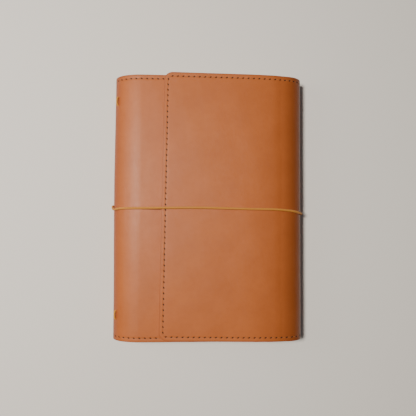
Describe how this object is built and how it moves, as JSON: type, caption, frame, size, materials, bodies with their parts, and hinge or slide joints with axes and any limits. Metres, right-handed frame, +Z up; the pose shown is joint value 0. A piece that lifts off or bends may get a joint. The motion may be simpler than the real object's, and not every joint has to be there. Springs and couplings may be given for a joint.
{
  "type": "leather notebook cover",
  "caption": "Wrap-around leather notebook cover with a stitched flap, elastic closure cord, and folded booklets held in the spine by binding elastics.",
  "frame": {"origin": "middle of the footprint, on the table under the closed cover", "axes": "+X from the spine to the fore-edge, +Y along the spine to the top edge, +Z up through the thickness; the cover lies closed on its back panel"},
  "size_m": [0.1615, 0.22, 0.031],
  "materials": {
    "leather": "smooth vegetable-tanned, soft satin",
    "lining": "napped flesh side",
    "kraft_card": "uncoated",
    "paper": "uncoated cream",
    "closure_elastic": "woven textile sheath over rubber",
    "binding_elastic": "woven textile sheath over rubber",
    "staple_steel": "drawn wire"
  },
  "bodies": {
    "back": {"outer_back": "leather", "lining_back": "lining", "insert_bottom_cover": "kraft_card", "insert_bottom_pages": "paper", "insert_bottom_staple_1": "staple_steel", "insert_bottom_staple_2": "staple_steel"},
    "spine_lower": {"outer_spine_lower": "leather", "lining_spine_lower": "lining", "binding_cord_lower": "binding_elastic"},
    "spine_middle": {"outer_spine_middle": "leather", "lining_spine_middle": "lining", "closure_knot": "closure_elastic"},
    "spine_upper": {"outer_spine_upper": "leather", "lining_spine_upper": "lining", "binding_cord_upper": "binding_elastic"},
    "spine_shoulder": {"outer_spine_shoulder": "leather", "lining_spine_shoulder": "lining"},
    "front": {"outer_front": "leather", "lining_front": "lining"},
    "fore_lower": {"outer_fore_lower": "leather", "lining_fore_lower": "lining"},
    "fore_middle": {"outer_fore_middle": "leather", "lining_fore_middle": "lining"},
    "fore_upper": {"outer_fore_upper": "leather", "lining_fore_upper": "lining"},
    "flap": {"outer_flap": "leather", "lining_flap": "lining"},
    "booklet_middle_lower": {"insert_middle_cover_lower": "kraft_card", "insert_middle_pages_lower": "paper", "insert_middle_staple_1": "staple_steel", "insert_middle_staple_2": "staple_steel"},
    "booklet_middle_upper": {"insert_middle_cover_upper": "kraft_card", "insert_middle_pages_upper": "paper"},
    "booklet_top": {"insert_top_cover": "kraft_card", "insert_top_pages": "paper", "insert_top_staple_1": "staple_steel", "insert_top_staple_2": "staple_steel"},
    "closure": {"closure_band": "closure_elastic"}
  },
  "joints": [
    {"name": "spine_low_bend", "type": "hinge", "parent": "back", "child": "spine_lower", "pos_m": [-0.07502, 0, 0.00158], "axis": [0, -1, 0], "range_deg": [0, 50], "deforming": ["binding_cord_lower"]},
    {"name": "spine_middle_bend", "type": "hinge", "parent": "spine_lower", "child": "spine_middle", "pos_m": [-0.07828, 0, 0.00693], "axis": [0, -1, 0], "range_deg": [0, 40]},
    {"name": "spine_high_bend", "type": "hinge", "parent": "spine_middle", "child": "spine_upper", "pos_m": [-0.07828, 0, 0.01576], "axis": [0, -1, 0], "range_deg": [0, 40], "deforming": ["binding_cord_upper"]},
    {"name": "shoulder_bend", "type": "hinge", "parent": "spine_upper", "child": "spine_shoulder", "pos_m": [-0.07268, 0, 0.02263], "axis": [0, -1, 0], "range_deg": [0, 30]},
    {"name": "front_bend", "type": "hinge", "parent": "spine_shoulder", "child": "front", "pos_m": [-0.06174, 0, 0.02652], "axis": [0, -1, 0], "range_deg": [0, 22.8]},
    {"name": "fore_low_bend", "type": "hinge", "parent": "back", "child": "fore_lower", "pos_m": [0.07475, 0, 0.00065], "axis": [0, 1, 0], "range_deg": [0, 60]},
    {"name": "fore_middle_bend", "type": "hinge", "parent": "fore_lower", "child": "fore_middle", "pos_m": [0.07938, 0, 0.00967], "axis": [0, 1, 0], "range_deg": [0, 60], "deforming": ["outer_fore_middle", "lining_fore_middle"]},
    {"name": "fore_high_bend", "type": "hinge", "parent": "fore_middle", "child": "fore_upper", "pos_m": [0.074, 0, 0.02006], "axis": [0, 1, 0], "range_deg": [0, 40], "deforming": ["outer_fore_upper", "lining_fore_upper"]},
    {"name": "flap_bend", "type": "hinge", "parent": "fore_upper", "child": "flap", "pos_m": [0.06185, 0, 0.02471], "axis": [0, 1, 0], "range_deg": [0, 17.8], "deforming": ["outer_flap", "lining_flap"]},
    {"name": "middle_booklet_shift", "type": "slide", "parent": "back", "child": "booklet_middle_lower", "axis": [-1, 0, 0], "range_m": [0, 0.015]},
    {"name": "middle_booklet_fold", "type": "hinge", "parent": "booklet_middle_lower", "child": "booklet_middle_upper", "pos_m": [-0.07008, 0, 0.0127], "axis": [0, -1, 0], "range_deg": [0, 179.5]},
    {"name": "top_booklet_settle", "type": "hinge", "parent": "front", "child": "booklet_top", "pos_m": [0.0628, 0, 0.01821], "axis": [0, 1, 0], "range_deg": [0, 1]},
    {"name": "closure_swing", "type": "hinge", "parent": "spine_middle", "child": "closure", "pos_m": [-0.0788, 0, 0.01134], "axis": [0, -1, 0], "range_deg": [0, 90], "deforming": ["closure_band"]}
  ],
  "couplings": [
    {"joint": "spine_middle_bend", "follows": "spine_low_bend", "ratio": 0.8},
    {"joint": "spine_high_bend", "follows": "spine_low_bend", "ratio": 0.8},
    {"joint": "shoulder_bend", "follows": "spine_low_bend", "ratio": 0.6},
    {"joint": "front_bend", "follows": "spine_low_bend", "ratio": 0.456},
    {"joint": "fore_low_bend", "follows": "spine_low_bend", "ratio": 1.2},
    {"joint": "fore_middle_bend", "follows": "spine_low_bend", "ratio": 1.2},
    {"joint": "fore_high_bend", "follows": "spine_low_bend", "ratio": 0.8},
    {"joint": "flap_bend", "follows": "spine_low_bend", "ratio": 0.356},
    {"joint": "middle_booklet_shift", "follows": "spine_low_bend", "m_per_rad": 0.017189},
    {"joint": "middle_booklet_fold", "follows": "spine_low_bend", "ratio": 3.59},
    {"joint": "top_booklet_settle", "follows": "spine_low_bend", "ratio": 0.02},
    {"joint": "closure_swing", "follows": "spine_low_bend", "ratio": 1.8}
  ]
}
